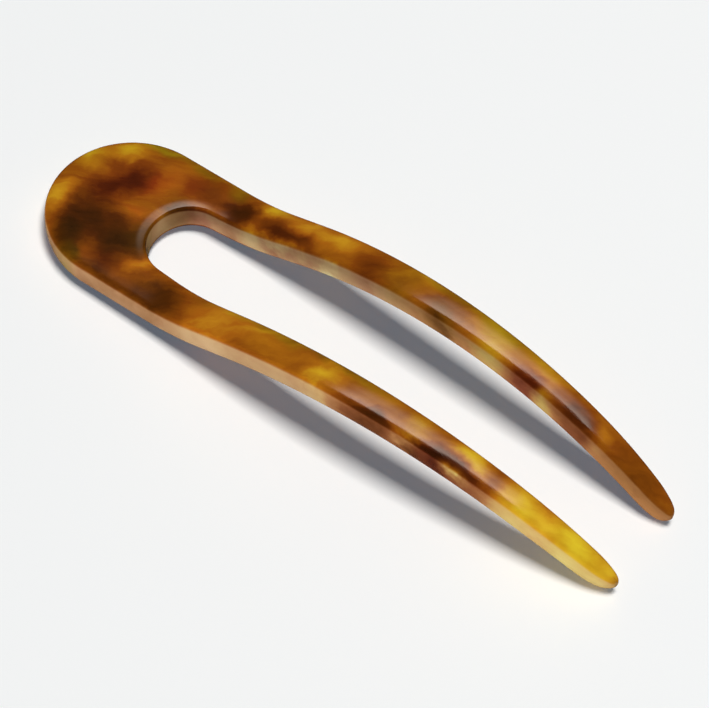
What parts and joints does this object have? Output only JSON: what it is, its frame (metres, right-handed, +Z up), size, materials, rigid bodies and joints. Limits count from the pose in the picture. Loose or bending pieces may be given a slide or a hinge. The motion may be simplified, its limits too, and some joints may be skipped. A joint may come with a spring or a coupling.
{
  "type": "french hair pin",
  "caption": "One-piece U-shaped hair pin with a broad round head, a long rounded slot and tapered prongs bent in a shallow S.",
  "frame": {"origin": "under the middle of the pin's length and width, on the surface that it lies on", "axes": "+X from the head to the tips of the prongs, +Y across the prongs, +Z up from the surface"},
  "size_m": [0.112, 0.0268, 0.0162],
  "materials": {
    "cellulose_acetate": "tumbled and polished tortoiseshell, amber to dark brown"
  },
  "bodies": {
    "root": {"hair_pin": "cellulose_acetate"}
  },
  "joints": []
}
